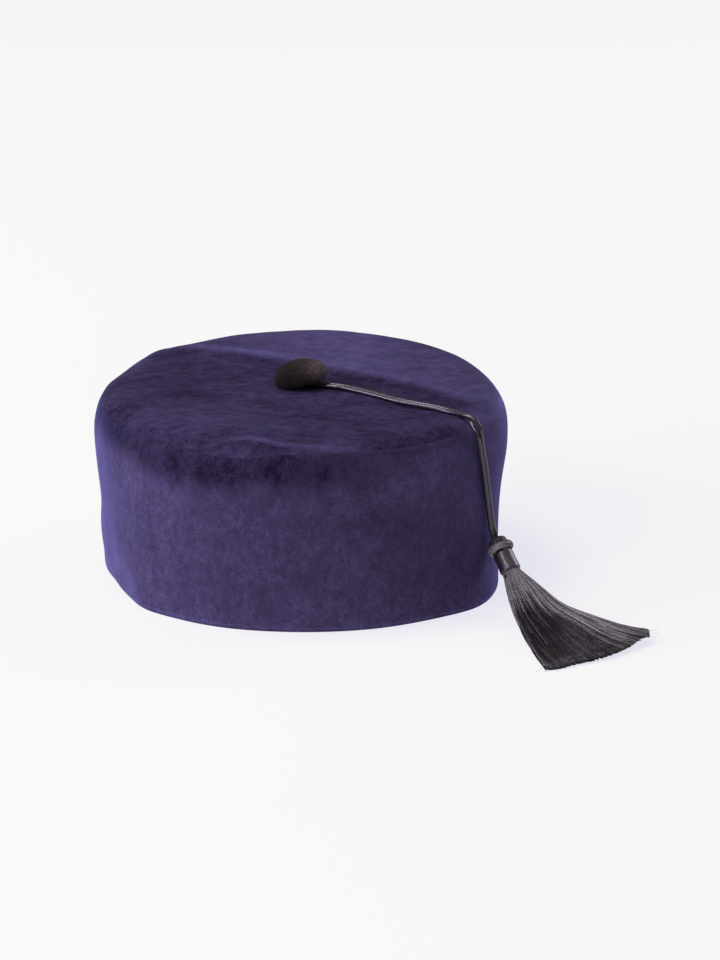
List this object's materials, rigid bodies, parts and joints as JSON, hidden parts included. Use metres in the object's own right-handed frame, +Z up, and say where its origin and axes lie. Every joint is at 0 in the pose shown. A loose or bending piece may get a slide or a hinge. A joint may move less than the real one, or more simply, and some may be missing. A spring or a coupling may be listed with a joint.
{
  "type": "smoking cap",
  "caption": "Low round velvet smoking cap with a flat sewn crown, a covered button and a thin doubled cord that runs over the edge to a silky tassel.",
  "frame": {"origin": "middle of the hem, on the surface that the cap rests on", "axes": "+Z up through the crown, -Y the front of the cap, the tassel at +X and -Y"},
  "size_m": [0.254, 0.241, 0.0993],
  "materials": {
    "velvet": "short pile navy violet velvet with a bluish sheen at the edges",
    "button_cloth": "matt brown black cloth stretched over a dome",
    "satin_cord": "smooth black satin cord with a soft grey highlight",
    "tassel_binding": "black satin thread wound tight",
    "tassel_thread": "fine black silky threads with a grey sheen"
  },
  "bodies": {
    "root": {"side_band": "velvet", "crown": "velvet", "button": "button_cloth", "cord_strand_1": "satin_cord", "cord_strand_2": "satin_cord", "tassel_collar": "tassel_binding", "tassel_neck": "tassel_binding", "tassel_skirt": "tassel_thread"}
  },
  "joints": []
}
